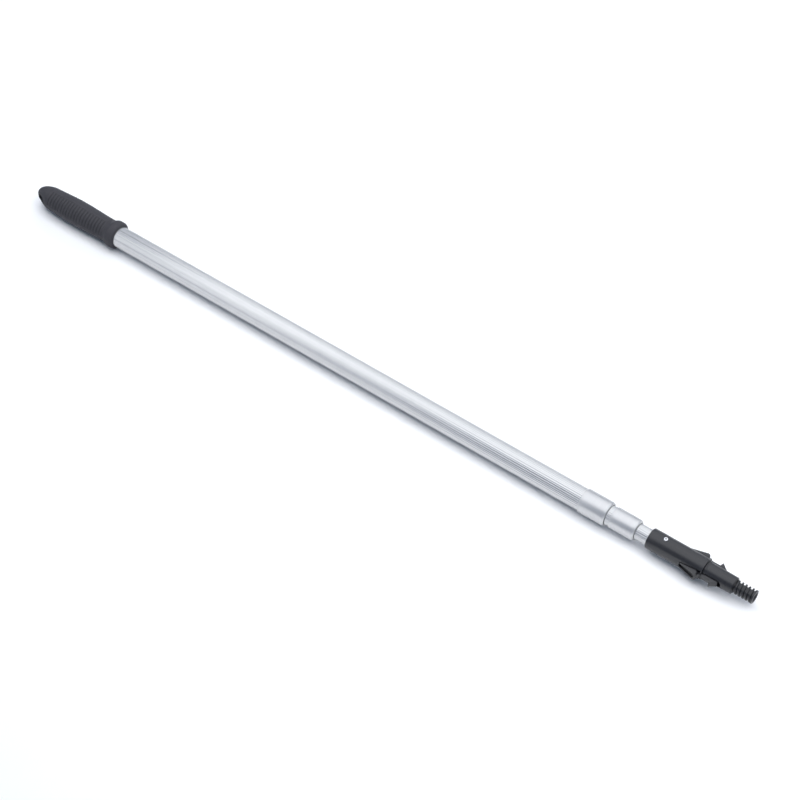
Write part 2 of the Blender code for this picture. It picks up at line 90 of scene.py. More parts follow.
class Finish:
    # one procedural finish, a Principled shader fed by what node() adds
    def __init__(self, name, **constants):
        self.material = bpy.data.materials.new(name)
        self.material.use_nodes = True
        self.tree = self.material.node_tree
        self.tree.nodes.clear()
        self.shader = self.tree.nodes.new("ShaderNodeBsdfPrincipled")
        output = self.tree.nodes.new("ShaderNodeOutputMaterial")
        self.tree.links.new(self.shader.outputs[0], output.inputs[0])
        for socket, value in constants.items():
            self.shader.inputs[socket.replace("_", " ")].default_value = value

    def node(self, kind, settings=None, inputs=None, output=0):
        made = self.tree.nodes.new(kind)
        for setting, value in (settings or {}).items():
            setattr(made, setting, value)
        for socket, value in (inputs or {}).items():
            if isinstance(value, Value):
                self.tree.links.new(value.socket, made.inputs[socket])
            else:
                made.inputs[socket].default_value = value
        return Value(self, made.outputs[output])

    def stretched(self, scale):
        # object coordinates about the pole's axis, scaled apart on each axis
        place = self.node("ShaderNodeTexCoord", output="Object")
        centred = self.node("ShaderNodeMapping", {}, {
            "Vector": place, "Location": (0, 0, -axisHeight)})
        return self.node("ShaderNodeMapping", {}, {"Vector": centred, "Scale": scale})

    def noise(self, scale, detail=3.0, roughness=0.5, stretch=(1, 1, 1)):
        return self.node(
            "ShaderNodeTexNoise", {},
            {"Vector": self.stretched(stretch), "Scale": scale,
             "Detail": detail, "Roughness": roughness},
            output="Fac",
        )

    def blendOf(self, factor, first, second):
        # a colour between two others
        return self.node(
            "ShaderNodeMix", {"data_type": "RGBA"}, {0: factor, 6: first, 7: second}, output=2
        )

    def feed(self, **links):
        for socket, value in links.items():
            self.tree.links.new(value.socket, self.shader.inputs[socket.replace("_", " ")])
        return self.material

    def bumped(self, height, strength, distance=0.0002):
        # the distance is in metres
        return self.node("ShaderNodeBump", {}, {
            "Height": height, "Strength": strength, "Distance": distance})


def rgb(*colour):
    return (*colour, 1)


def anodisedTube(name, tone):
    # drawn aluminium: fine die lines along the tube, cloudy anodising and a few rubbed patches
    finish = Finish(name, Metallic=1.0)
    dieLines = finish.noise(60, 4, 0.6, (0.02, 40, 40))
    broadLines = finish.noise(60, 2, 0.5, (0.01, 7, 7))
    clouds = finish.noise(22, 3, 0.6, (0.4, 1, 1))
    rubs = finish.noise(130, 4, 0.7, (0.15, 1, 1)).clamped(0.58, 0.72)
    colour = finish.blendOf(
        dieLines * 0.5 + broadLines * 0.5, rgb(*(0.86 * c for c in tone)), rgb(*tone))
    colour = finish.blendOf(clouds * 0.25, colour, rgb(0.54, 0.55, 0.57))
    colour = finish.blendOf(rubs * 0.12, colour, rgb(0.42, 0.42, 0.43))
    roughness = 0.16 + dieLines * 0.06 + clouds * 0.05 + rubs * 0.07
    return finish.feed(
        Base_Color=colour, Roughness=roughness, Normal=finish.bumped(dieLines, 0.05, 0.0001))


def turnedCollar(name):
    # matt aluminium with the fine rings that a lathe leaves
    finish = Finish(name, Metallic=1.0)
    rings = finish.noise(60, 3, 0.6, (45, 0.4, 0.4))
    clouds = finish.noise(45, 3, 0.6)
    scuffs = finish.noise(160, 5, 0.75, (1, 0.3, 0.3)).clamped(0.6, 0.75)
    colour = finish.blendOf(rings, rgb(0.54, 0.54, 0.54), rgb(0.62, 0.62, 0.62))
    colour = finish.blendOf(scuffs * 0.2, colour, rgb(0.42, 0.42, 0.43))
    roughness = 0.34 + rings * 0.07 + clouds * 0.08 + scuffs * 0.06
    return finish.feed(
        Base_Color=colour, Roughness=roughness, Normal=finish.bumped(rings, 0.1, 0.0001))


def gripRubber(name):
    # charcoal rubber, dusty on its ribs, with painted shade darkening the grooves between them
    finish = Finish(name, Specular_IOR_Level=0.38)
    grain = finish.noise(900, 4, 0.7)
    clouds = finish.noise(38, 4, 0.65)
    groove = finish.node("ShaderNodeAttribute", {"attribute_name": "groove"}, output="Fac")
    dust = clouds.clamped(0.35, 0.75) * (1 - groove)
    colour = finish.blendOf(grain, rgb(0.018, 0.0177, 0.0215), rgb(0.040, 0.0385, 0.046))
    colour = finish.blendOf(dust * 0.2, colour, rgb(0.056, 0.054, 0.062))
    # painted shade: the grooves darkened towards near black, where shade falls between the ribs
    colour = finish.blendOf(groove * 0.65, colour, rgb(0.007, 0.007, 0.009))
    roughness = 0.56 + grain * 0.12 + dust * 0.1
    return finish.feed(
        Base_Color=colour, Roughness=roughness, Normal=finish.bumped(grain, 0.45, 0.00025))


def mouldedNylon(name):
    # black plastic off a spark-eroded mould, with flow marks and light handling scuffs
    finish = Finish(name, Specular_IOR_Level=0.66)
    grain = finish.noise(1500, 3, 0.6)
    flow = finish.noise(55, 4, 0.6, (0.5, 1, 1))
    scuffs = finish.noise(210, 6, 0.8, (0.35, 1, 1)).clamped(0.6, 0.74)
    colour = finish.blendOf(flow, rgb(0.003, 0.003, 0.0045), rgb(0.008, 0.008, 0.011))
    colour = finish.blendOf(scuffs * 0.3, colour, rgb(0.045, 0.045, 0.052))
    roughness = 0.26 + flow * 0.1 + grain * 0.08 + scuffs * 0.12
    return finish.feed(
        Base_Color=colour, Roughness=roughness, Normal=finish.bumped(grain, 0.3, 0.00012))


def whiteAcetal(name):
    # waxy white bushes and lock parts, greyed a little by the metal they slide on
    finish = Finish(name, Specular_IOR_Level=0.5)
    flow = finish.noise(70, 4, 0.6)
    rubbed = finish.noise(160, 5, 0.7, (0.2, 1, 1)).clamped(0.52, 0.72)
    colour = finish.blendOf(flow, rgb(0.80, 0.80, 0.77), rgb(0.88, 0.88, 0.86))
    colour = finish.blendOf(rubbed * 0.3, colour, rgb(0.56, 0.57, 0.58))
    return finish.feed(
        Base_Color=colour, Roughness=0.36 + flow * 0.1 + rubbed * 0.1,
        Normal=finish.bumped(flow, 0.1, 0.0002))


def zincSteel(name, dark, light):
    # zinc plated steel with its cloudy bluish passivation
    finish = Finish(name, Metallic=1.0)
    clouds = finish.noise(180, 4, 0.65)
    turned = finish.noise(90, 3, 0.6, (30, 1, 1))
    colour = finish.blendOf(clouds, rgb(*dark), rgb(*light))
    return finish.feed(
        Base_Color=colour, Roughness=0.28 + clouds * 0.16 + turned * 0.05,
        Normal=finish.bumped(turned, 0.12, 0.0001))


def rivetAluminium(name):
    # bright pressed aluminium, a little dulled where the tool bore on it
    finish = Finish(name, Metallic=1.0)
    pressed = finish.noise(420, 4, 0.6)
    colour = finish.blendOf(pressed, rgb(0.84, 0.84, 0.85), rgb(0.93, 0.93, 0.94))
    return finish.feed(
        Base_Color=colour, Roughness=0.2 + pressed * 0.14,
        Normal=finish.bumped(pressed, 0.1, 0.0001))


def pieceOf(bm, name):
    # a mesh object with its doubles merged and its faces pointing outwards
    bmesh.ops.remove_doubles(bm, verts=bm.verts, dist=mergeDistance)
    bmesh.ops.recalc_face_normals(bm, faces=bm.faces)
    mesh = bpy.data.meshes.new(name)
    bm.to_mesh(mesh)
    bm.free()
    piece = bpy.data.objects.new(name, mesh)
    bpy.context.scene.collection.objects.link(piece)
    return piece


def settled(piece):
    # the piece with its modifiers made part of its mesh
    bpy.context.view_layer.update()
    shaped = piece.evaluated_get(bpy.context.evaluated_depsgraph_get())
    mesh = bpy.data.meshes.new_from_object(shaped)
    piece.modifiers.clear()
    piece.data = mesh
    return piece


def carve(piece, tool, operation="DIFFERENCE"):
    # cuts, joins or intersects with a tool, which is used up
    cut = piece.modifiers.new("cut", "BOOLEAN")
    cut.operation, cut.solver, cut.object = operation, "EXACT", tool
    settled(piece)
    bpy.data.objects.remove(tool)
    return piece


def softened(piece, width, segments=2, angle=32):
    edges = piece.modifiers.new("edges", "BEVEL")
    edges.width, edges.segments = width, segments
    edges.limit_method, edges.angle_limit = "ANGLE", math.radians(angle)
    return settled(piece)


def fitted(piece, body, nodes, material, sharp=38):
    # puts a finished piece in the frame in the place of its CAD nodes
    piece.data.transform(toFrame)
    piece.data.materials.clear()
    piece.data.materials.append(material)
    piece.data.shade_smooth()
    piece.data.set_sharp_from_angle(angle=math.radians(sharp))
    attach(piece, body)
    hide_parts(*nodes)
    return piece


def span(side, inner, outer):
    # two distances from the axis as a low and a high place on one side of it
    return sorted((side * inner, side * outer))


def bow(centreX, centreR, sizeX, sizeR, start, end, steps):
    # points along an arc, in degrees from the x axis
    turns = [math.radians(start + (end - start) * k / steps) for k in range(steps + 1)]
    return [(centreX + sizeX * math.cos(t), centreR + sizeR * math.sin(t)) for t in turns]


def rounded(corners, steps=8):
    # an outline through (x, y, radius) corners, each one turned along an arc
    outline = []
    for k, (x, y, radius) in enumerate(corners):
        here = Vector((x, y))
        if not radius:
            outline.append((x, y))
            continue
        before = (Vector(corners[k - 1][:2]) - here).normalized()
        after = (Vector(corners[(k + 1) % len(corners)][:2]) - here).normalized()
        half = before.angle(after) / 2
        centre = here + (before + after).normalized() * radius / math.sin(half)
        start = here + before * radius / math.tan(half) - centre
        sweep = start.angle_signed(here + after * radius / math.tan(half) - centre)
        first = math.atan2(start.y, start.x)
        turns = [first - sweep * step / steps for step in range(steps + 1)]
        outline += [
            (centre.x + radius * math.cos(t), centre.y + radius * math.sin(t)) for t in turns]
    return outline


def turnedPiece(name, profile, steps=128, closed=True):
    # spins a profile of (x, radius) points about the pole's axis
    bm = bmesh.new()
    points = [bm.verts.new((x, 0, radius)) for x, radius in profile]
    pairs = list(zip(points, points[1:])) + [(points[-1], points[0])] * closed
    edges = [bm.edges.new(pair) for pair in pairs]
    bmesh.ops.spin(
        bm, geom=points + edges, cent=(0, 0, 0), axis=(1, 0, 0),
        angle=2 * math.pi, steps=steps, use_merge=True
    )
    return pieceOf(bm, name)


def pulled(bm, corners, along):
    # grows a flat face into a solid and returns the vertices of its far end
    grown = bmesh.ops.extrude_face_region(bm, geom=[bm.faces.new(corners)])["geom"]
    farEnd = [g for g in grown if isinstance(g, bmesh.types.BMVert)]
    bmesh.ops.translate(bm, verts=farEnd, vec=along)
    return farEnd


def prism(name, outline, low, high, plane="XZ"):
    # a flat outline pulled through the pole, along y from the XZ plane or along z from the XY plane
    bm = bmesh.new()
    if plane == "XZ":
        corners = [bm.verts.new((a, low, b)) for a, b in outline]
        pull = (0, high - low, 0)
    else:
        corners = [bm.verts.new((a, b, low)) for a, b in outline]
        pull = (0, 0, high - low)
    pulled(bm, corners, pull)
    return pieceOf(bm, name)


def peg(name, low, high, radius, axis="Z", at=(0, 0, 0), steps=48):
    # a round bar between low and high along y or z
    bm = bmesh.new()
    bmesh.ops.create_cone(
        bm, segments=steps, radius1=radius, radius2=radius, depth=high - low, cap_ends=True)
    turn = Matrix.Identity(3) if axis == "Z" else Matrix.Rotation(math.pi / 2, 3, "X")
    bmesh.ops.rotate(bm, verts=bm.verts, cent=(0, 0, 0), matrix=turn)
    middle = Vector((0, 0, (low + high) / 2)) if axis == "Z" else Vector((0, (low + high) / 2, 0))
    bmesh.ops.translate(bm, verts=bm.verts, vec=Vector(at) + middle)
    return pieceOf(bm, name)


def wedge(name, side, rear, front):
    # a block that rises and widens from rear to front, ends given as (x, inner, outer, half width)
    bm = bmesh.new()
    bmesh.ops.create_cube(bm, size=2)
    for v in bm.verts:
        x, low, high, half = front if v.co.x > 0 else rear
        v.co = (x, side * (high if v.co.y > 0 else low), half * v.co.z)
    return pieceOf(bm, name)


tubes = {
    "outer": {"flutes": 32, "wall": 1.4},
    "middle": {"flutes": 28, "wall": 1.4},
    "inner": {"flutes": 22, "wall": 1.3},
    "depth": 0.33,  # of the valleys between the flutes
    "valleyPower": 5,  # a higher power makes them narrower
    "pointsToFlute": 12,
    "stretches": 16,
    "tone": (0.63, 0.63, 0.625),
}


def flutedTube(section):
    sizes = tubes[section]
    rear, front, radius = reach(section + "_tube")
    perFlute = tubes["pointsToFlute"]
    bm = bmesh.new()
    loops = []
    for wallRadius, fluted in ((radius, True), (radius - sizes["wall"], False)):
        ring = bmesh.ops.create_circle(
            bm, segments=sizes["flutes"] * perFlute, radius=wallRadius)["verts"]
        for v in ring:
            turn = math.atan2(v.co.y, v.co.x)
            # broad ribs with a narrow valley between them
            valley = (0.5 + 0.5 * math.cos(turn * sizes["flutes"])) ** tubes["valleyPower"]
            v.co *= 1 - fluted * tubes["depth"] * valley / wallRadius
        bmesh.ops.rotate(bm, verts=ring, cent=(0, 0, 0), matrix=aroundX)
        bmesh.ops.translate(bm, verts=ring, vec=(rear, 0, 0))
        edges = list({e for v in ring for e in v.link_edges})
        loops.append(edges)
        for k in range(tubes["stretches"]):
            grown = bmesh.ops.extrude_edge_only(bm, edges=edges)["geom"]
            moved = [g for g in grown if isinstance(g, bmesh.types.BMVert)]
            edges = [g for g in grown if isinstance(g, bmesh.types.BMEdge) and g.is_boundary]
            bmesh.ops.translate(bm, verts=moved, vec=((front - rear) / tubes["stretches"], 0, 0))
        loops.append(edges)
    for first, second in ((0, 2), (1, 3)):  # joins the two skins at both ends
        bmesh.ops.bridge_loops(bm, edges=loops[first] + loops[second])
    return pieceOf(bm, section + "_tube_fluted")


collar = {
    "wall": {"outer": 1.1, "middle": 0.9},
    "slide": 0.45,  # the gap round the tube that runs through it
    "rearRound": 0.5, "lipRound": 4.0, "lipLength": 2.5,
    "ringWidth": 0.45, "ringDepth": 0.2, "lipChamfer": 0.25, "around": 160,
}


def turnedCollarPiece(section, inside):
    rear, front, radius = reach(section + "_collar")
    bore = radius - collar["wall"][section]
    lipBore = reach(inside + "_tube")[2] + collar["slide"]
    soft, chamfer = collar["rearRound"], collar["lipChamfer"]
    profile = [(rear, bore), (rear, radius - soft)]
    profile += bow(rear + soft, radius - soft, soft, soft, 180, 90, 4)[1:]
    # the rounded shoulder, with the fine step where the spun lip begins
    shoulderX, ringR = front - collar["lipRound"], lipBore + collar["ringWidth"]
    profile += bow(shoulderX, ringR, front - shoulderX, radius - lipBore - collar["ringWidth"], 90, 4, 18)
    stepX, lipX = front - collar["ringDepth"], front - collar["lipLength"]
    profile += [(stepX, ringR), (stepX, lipBore + chamfer), (stepX - chamfer, lipBore)]
    profile += [(lipX, lipBore), (lipX, bore)]
    return turnedPiece(section + "_collar_turned", profile, steps=collar["around"])


grip = {
    "noseLength": 30.0, "noseFullness": 2.05, "noseRadius": 17.3, "noseSteps": 30,
    "bellyFrom": 20.0, "bellyAt": 80.0, "bellyRadius": 19.6, "waistRadius": 18.0,
    "flangeLength": 20.0, "flangeRise": 9.0, "flangeRound": 6.0, "flangeSteps": 24,
    "mouthDepth": 5.0, "mouthRadius": 17.7, "boreRadius": 16.3, "noseWall": 27.0,
    # two small steps inside the lip: how far in from the front and from the mouth's radius
    "lipSteps": ((0.6, 0.4), (1.4, 0.9)),
    "ribPitch": 5.5, "ribDepth": 0.8, "ribsFromNose": 31.0, "ribsFromFlange": 3.0, "pointsToRib": 10,
    # smooth rails between the ribbed panels, as degrees from the top and half widths in degrees
    "railAngles": (-17, 103, 223), "railHalf": 23.0, "railBlend": 3.0,
    "railLine": 0.35, "railLineWidth": 1.6,
    # creases round both ends of the panels: distance from the ribs, width, depth
    "rearCrease": (2.6, 0.8, 0.5), "frontCrease": (2.2, 0.7, 0.4),
    "around": 180,
    # the hang hole and its dish on the near side (-1) and on the far side
    "holeLength": 16.0, "holeHeight": 12.0, "holeFromEnd": 13.0,
    "dishFrom": {-1: 8.4, 1: 10.5}, "dishSlope": 0.45,
    "flatFrom": 8.0, "flatTo": 29.0, "flatNear": 0.2, "flatFar": 0.08, "beyond": 25.0,
}


def smoothStep(value, low, high):
    share = min(max((value - low) / (high - low), 0), 1)
    return share * share * (3 - 2 * share)


def gripSkin(x, rear, front, flangeRadius):
    # the smooth outer radius: a blunt nose, a long belly, a waist and the flange
    fromEnd, flangeRear = x - rear, front - rear - grip["flangeLength"]
    share = min(max(1 - fromEnd / grip["noseLength"], 0), 1)
    fullness = grip["noseFullness"]
    swell = grip["noseRadius"] + (grip["bellyRadius"] - grip["noseRadius"]) * smoothStep(
        fromEnd, grip["bellyFrom"], grip["bellyAt"])
    radius = swell * (1 - share ** fullness) ** (1 / fullness)
    radius += (grip["waistRadius"] - grip["bellyRadius"]) * smoothStep(
        fromEnd, grip["bellyAt"], flangeRear)
    return radius + (flangeRadius - grip["waistRadius"]) * smoothStep(
        fromEnd, flangeRear, flangeRear + grip["flangeRise"])


def ribSink(place, ribsStart, ribsEnd):
    # how deep the skin lies under its smooth shape, in grooves that stop at the three rails
    x, turn = place.x, math.degrees(math.atan2(-place.y, place.z))
    sink = 0.0
    if ribsStart <= x <= ribsEnd:
        offRail = min(abs((turn - rail + 180) % 360 - 180) for rail in grip["railAngles"])
        panel = smoothStep(offRail, grip["railHalf"], grip["railHalf"] + grip["railBlend"])
        fromLine = (offRail - grip["railHalf"]) / grip["railLineWidth"]
        line = math.exp(-fromLine ** 2) * grip["railLine"]
        wave = 0.5 - 0.5 * math.cos(2 * math.pi * (x - ribsStart) / grip["ribPitch"])
        sink = max(grip["ribDepth"] * panel * wave ** 2, line)
    for end, way, crease in ((ribsStart, -1, "rearCrease"), (ribsEnd, 1, "frontCrease")):
        distance, width, depth = grip[crease]
        sink = max(sink, depth * math.exp(-((x - (end + way * distance)) / width) ** 2))
    return sink


def gripProfile(rear, front, flangeRadius, ribsStart, ribsEnd):
    # rounded nose, ribbed body, flange and lip, then back inside to the bore
    steps, points = grip["noseSteps"], grip["pointsToRib"]
    noseTurns = [math.pi / 2 * k / steps for k in range(steps + 1)]
    places = [rear + (ribsStart - rear) * (1 - math.cos(t)) for t in noseTurns]
    fine, count = grip["ribPitch"] / points, round((ribsEnd - ribsStart) / grip["ribPitch"])
    places += [ribsStart + fine * k for k in range(1, count * points + 1)]
    lipRound, steps = grip["flangeRound"], grip["flangeSteps"]
    lipStart = front - lipRound
    places += [ribsEnd + (lipStart - ribsEnd) * k / steps for k in range(1, steps + 1)]
    profile = [(x, gripSkin(x, rear, front, flangeRadius)) for x in places]
    profile += bow(lipStart, flangeRadius - lipRound, lipRound, lipRound, 90, -5, 14)[1:]
    profile += [(front - depth, grip["mouthRadius"] - inward) for depth, inward in grip["lipSteps"]]
    mouthEnd, boreEnd = front - grip["mouthDepth"], rear + grip["noseWall"]
    profile += [(mouthEnd, profile[-1][1]), (mouthEnd, grip["boreRadius"])]
    return profile + [(boreEnd, grip["boreRadius"]), (boreEnd, 0)]


def gripPiece():
    rear, front, flangeRadius = reach("grip")
    ribsStart = rear + grip["ribsFromNose"]
    ribsEnd = front - grip["flangeLength"] - grip["ribsFromFlange"]
    pitch = grip["ribPitch"]
    ribsEnd = ribsStart + round((ribsEnd - ribsStart) / pitch) * pitch  # whole ribs only
    profile = gripProfile(rear, front, flangeRadius, ribsStart, ribsEnd)
    piece = turnedPiece("grip_ribbed", profile, steps=grip["around"], closed=False)

    insideRadius, boreEnd = grip["mouthRadius"] - 0.2, rear + grip["noseWall"] - 0.1
    for v in piece.data.vertices:
        x, radius = v.co.x, math.hypot(v.co.y, v.co.z)
        if radius < insideRadius and x > boreEnd:
            continue  # the bore stays round
        share = 1 - ribSink(v.co, ribsStart, ribsEnd) / max(radius, 1)
        # the nose is pressed flatter on both sides of the hang hole
        pressed = 1 - smoothStep(x - rear, grip["flatFrom"], grip["flatTo"])
        side = grip["flatNear"] if v.co.y < 0 else grip["flatFar"]
        v.co.y *= share * (1 - pressed * side)
        v.co.z *= share
    hangHole(piece, rear)

    # marks the grooves for the rubber's dust and for the painted shade in them
    groove = piece.data.attributes.new("groove", "FLOAT", "POINT")
    for v, mark in zip(piece.data.vertices, groove.data):
        mark.value = min(ribSink(v.co, ribsStart, ribsEnd) / grip["ribDepth"], 1)
    return piece


def hangHole(piece, rear):
    # a slot through the nose that opens out into a dish on both sides
    half, beyond = grip["holeHeight"] / 2, grip["beyond"]
    middle, straight = rear + grip["holeFromEnd"], grip["holeLength"] / 2 - half
    slot = bow(middle + straight, 0, half, half, -90, 90, 16)
    slot += bow(middle - straight, 0, half, half, 90, 270, 16)
    carve(piece, prism("hole", slot, -beyond, beyond))
    for side in (-1, 1):
        depth = beyond - grip["dishFrom"][side]
        bm = bmesh.new()
        corners = [bm.verts.new((a, side * grip["dishFrom"][side], b)) for a, b in slot]
        mouth = pulled(bm, corners, (0, side * depth, 0))
        spread = 1 + depth * grip["dishSlope"] / half
        bmesh.ops.scale(
            bm, verts=mouth, vec=(1 + (spread - 1) * half / (half + straight), 1, spread),
            space=Matrix.Translation((-middle, 0, 0))
        )
        carve(piece, pieceOf(bm, "dish"))


tip = {
    "threadLength": 29.4, "threadRadius": 9.525, "pitch": 5.08, "chamfer": 0.9, "turnSteps": 64,
    # one ridge of the thread, in shares of its pitch, and its rounding
    "ridgeFrom": 0.34, "flank": 0.16, "crestTo": 0.86, "crestRound": 0.35,
    "bluntLength": 2.6, "bluntRadius": 9.62, "bluntRound": 0.5,
    "hollowRadius": 5.4, "hollowDepth": 9.0, "hollowMouth": 7.4, "hollowTaper": 2.4,
    "spigotRadius": 9.75, "spigotLength": 0.8,
    "noseFrontRadius": 11.65, "noseRearRadius": 12.2, "shoulderRound": 0.8,
    "neckRadius": 12.7, "neckLength": 4.5, "coreRadius": 11.2,
    "ringsFrom": 1.1, "ringSpacing": 1.3, "ringDepth": 0.35,
    "slotFront": 44.4, "slotHeight": 11.4, "slotRear": 108.2, "pocketFloor": 7.7, "pocketHalf": 8.0,
    "pivotFromTip": 104.0, "pivotOffset": 5.0, "pivotHole": 1.8,
}


def screwPiece():
    pitch, crest = tip["pitch"], tip["threadRadius"]
    root, steps, soft = crest - pitch / 2, tip["turnSteps"], tip["crestRound"]
    start = -tip["threadLength"] - pitch
    foot, last = tip["ridgeFrom"] * pitch, tip["crestTo"] * pitch
    first = foot + tip["flank"] * pitch
    ridge = [(0, root), (foot, root), (first - soft * 0.4, crest - soft), (first + soft, crest)]
    ridge += [(last - soft, crest), (last + soft * 0.4, crest - soft), (pitch, root)]
    bm = bmesh.new()
    points = [bm.verts.new((start - pitch + x, 0, r)) for x, r in ridge]
    edges = [bm.edges.new(pair) for pair in zip(points, points[1:])]
    turns = math.ceil(tip["threadLength"] / pitch) + 3
    bmesh.ops.spin(
        bm, geom=points + edges, cent=(0, 0, 0), axis=(1, 0, 0), dvec=(pitch / steps, 0, 0),
        angle=2 * math.pi * turns, steps=steps * turns, use_merge=False
    )
    bmesh.ops.remove_doubles(bm, verts=bm.verts, dist=mergeDistance)
    for cut, outward in ((0, 1), (start, -1)):
        everything = list(bm.verts) + list(bm.edges) + list(bm.faces)
        bmesh.ops.bisect_plane(
            bm, geom=everything, plane_co=(cut, 0, 0), plane_no=(outward, 0, 0), clear_outer=True)
        rim = [e for e in bm.edges if e.is_boundary and abs(e.verts[0].co.x - cut) < 0.01]
        bmesh.ops.edgeloop_fill(bm, edges=rim)
    screw = pieceOf(bm, "screw")
    # the thread runs out on a cone at its end
    limit = turnedPiece("limit", [
        (start - 1, 0), (start - 1, crest + 1), (-tip["chamfer"] - 1, crest + 1),
        (1, root - 0.5), (1, 0)
    ], closed=False)
    return carve(screw, limit, "INTERSECT")


def tipBody(coreRear, neckRear):
    # the core inside the socket, the ringed neck, the cone and the spigot
    shoulder, noseRear = -tip["threadLength"], neckRear + tip["neckLength"]
    neck, soft = tip["neckRadius"], tip["shoulderRound"]
    profile = [(coreRear, 0), (coreRear, tip["coreRadius"]), (neckRear + 0.3, tip["coreRadius"])]
    profile += [(neckRear + 0.3, neck - 0.3), (neckRear + 0.6, neck)]
    for k in range(2):
        at, sunk = neckRear + tip["ringsFrom"] + tip["ringSpacing"] * k, neck - tip["ringDepth"]
        profile += [(at, neck), (at + 0.15, sunk), (at + 0.5, sunk), (at + 0.65, neck)]
    profile += [(noseRear - 0.9, neck), (noseRear - 0.55, neck - 0.25)]
    profile += [(noseRear - 0.2, tip["noseRearRadius"] + 0.05), (noseRear + 0.2, tip["noseRearRadius"])]
    profile += bow(shoulder - soft, tip["noseFrontRadius"] - soft, soft, soft, 90, 0, 6)
    profile += [(shoulder, tip["spigotRadius"]), (shoulder + tip["spigotLength"], tip["spigotRadius"])]
    profile += [(shoulder + tip["spigotLength"], 0)]
    return turnedPiece("threaded_tip_moulding", profile, steps=96, closed=False)


def threadedTip():
    coreRear, neckRear = reach("threaded_tip")[0], reach("tip_socket")[1]
    piece = carve(tipBody(coreRear, neckRear), screwPiece(), "UNION")
    # the blunt start of the thread and the hollow in its end
    blunt, soft, low = tip["bluntRadius"], tip["bluntRound"], tip["hollowRadius"]
    rearEnd, frontEnd = -tip["bluntLength"], -0.02  # so that no two end faces coincide
    ending = [(rearEnd, low - 1), (rearEnd, blunt - soft)]
    ending += bow(rearEnd + soft, blunt - soft, soft, soft, 180, 90, 3)[1:]
    ending += bow(frontEnd - soft, blunt - soft, soft, soft, 90, 0, 3) + [(frontEnd, low - 1)]
    carve(piece, turnedPiece("blunt_start", ending, steps=96), "UNION")
    carve(piece, turnedPiece("hollow", [
        (1, 0), (1, tip["hollowMouth"] + 0.6), (0, tip["hollowMouth"]),
        (-tip["hollowTaper"], low), (-tip["hollowDepth"], low), (-tip["hollowDepth"], 0)
    ], steps=64, closed=False))
    # the slot for the levers, a pocket on each side of it and the holes for their pins
    half = tip["slotHeight"] / 2
    slot = [(-tip["slotRear"], -half)] + bow(-tip["slotFront"] - half, 0, half, half, -90, 90, 16)
    slot += [(-tip["slotRear"], half)]
    carve(piece, prism("slot", slot, -20, 20))
    for side in (-1, 1):
        low, high = span(side, tip["pocketFloor"], 20)
        first, last = coreRear - 1, neckRear + 0.15
        pocket = [(first, low), (last, low), (last, high), (first, high)]
        carve(piece, prism("pocket", pocket, -tip["pocketHalf"], tip["pocketHalf"], "XY"))
        at = (-tip["pivotFromTip"], side * tip["pivotOffset"], 0)
        carve(piece, peg("pivot", -12, 12, tip["pivotHole"], "Z", at, 24))
    return softened(piece, 0.22)


socket = {
    "bore": 11.5, "boreChamfer": 0.2, "endRound": 1.0, "rim": 1.8, "leverGap": 0.8,
    "rivetFromRear": 22.0, "rivetSeat": 3.2, "rivetHole": 2.3, "seatDepth": 0.6,
}
pad = {
    "rear": 103.4, "front": 75.9, "rearInner": 8.0, "frontInner": 13.1, "rearOuter": 14.35,
    "frontOuter": 20.0, "rearHalf": 4.8, "frontHalf": 7.4, "lean": 1.8,
    "cornerRound": 4.6, "browRound": 3.6, "edgeRound": 0.55, "recessDepth": 2.2, "rimWidth": 1.8,
}


def socketPiece():
    rear, front, radius = reach("tip_socket")
    soft, bore, chamfer = socket["endRound"], socket["bore"], socket["boreChamfer"]
    profile = [(rear, bore + chamfer), (rear, radius - soft)]
    profile += bow(rear + soft, radius - soft, soft, soft, 180, 90, 5)[1:]
    profile += bow(front - soft, radius - soft, soft, soft, 90, 0, 5)
    profile += [(front, bore + chamfer), (front - chamfer, bore), (rear + chamfer, bore)]
    piece = turnedPiece("tip_socket_moulding", profile, steps=112)
    gap, floor, beyond = socket["leverGap"], tip["pocketFloor"], radius + 1
    windowFront = front - socket["rim"]
    for side in (-1, 1):
        window = wedge(
            "window", side,
            (-pad["rear"] - gap, floor, beyond, pad["rearHalf"] + gap),
            (windowFront, floor, beyond, pad["frontHalf"] + gap),
        )
        carve(piece, window)
        low, high = span(side, floor, beyond)
        first, last, half = windowFront - 1, front + 1, tip["slotHeight"] / 2
        notch = [(first, low), (last, low), (last, high), (first, high)]
        carve(piece, prism("notch", notch, -half, half, "XY"))
        at = (rear + socket["rivetFromRear"], 0, 0)
        seatLow, seatHigh = span(side, radius - socket["seatDepth"], beyond)
        carve(piece, peg("seat", seatLow, seatHigh, socket["rivetSeat"], "Z", at))
        carve(piece, peg("hole", *span(side, 0, radius), socket["rivetHole"], "Z", at))
    return softened(piece, 0.28)


lever = {
    # distances along the pole are from the end of the thread
    "armHalf": 4.5, "bossRadius": 3.6, "heel": 5.6, "heelDrop": 2.5, "seatFrom": 8.1, "seat": 8.0,
    "armFront": 49.0, "armOuter": 13.6, "armInner": 10.0, "noseSlant": 1.4,
    "barbFront": 51.0, "barbTip": 57.5, "barbHeight": 18.8, "barbRear": 59.6, "barbRise": 0.4,
    "pegRadius": 2.2, "pegLength": 2.5, "springFromTip": 86.0,
    # two steps just in front of the pad: rear, front, height
    "steps": ((77.5, 73.7, 17.0), (77.5, 72.5, 15.6)), "stepHalf": 3.2,
}


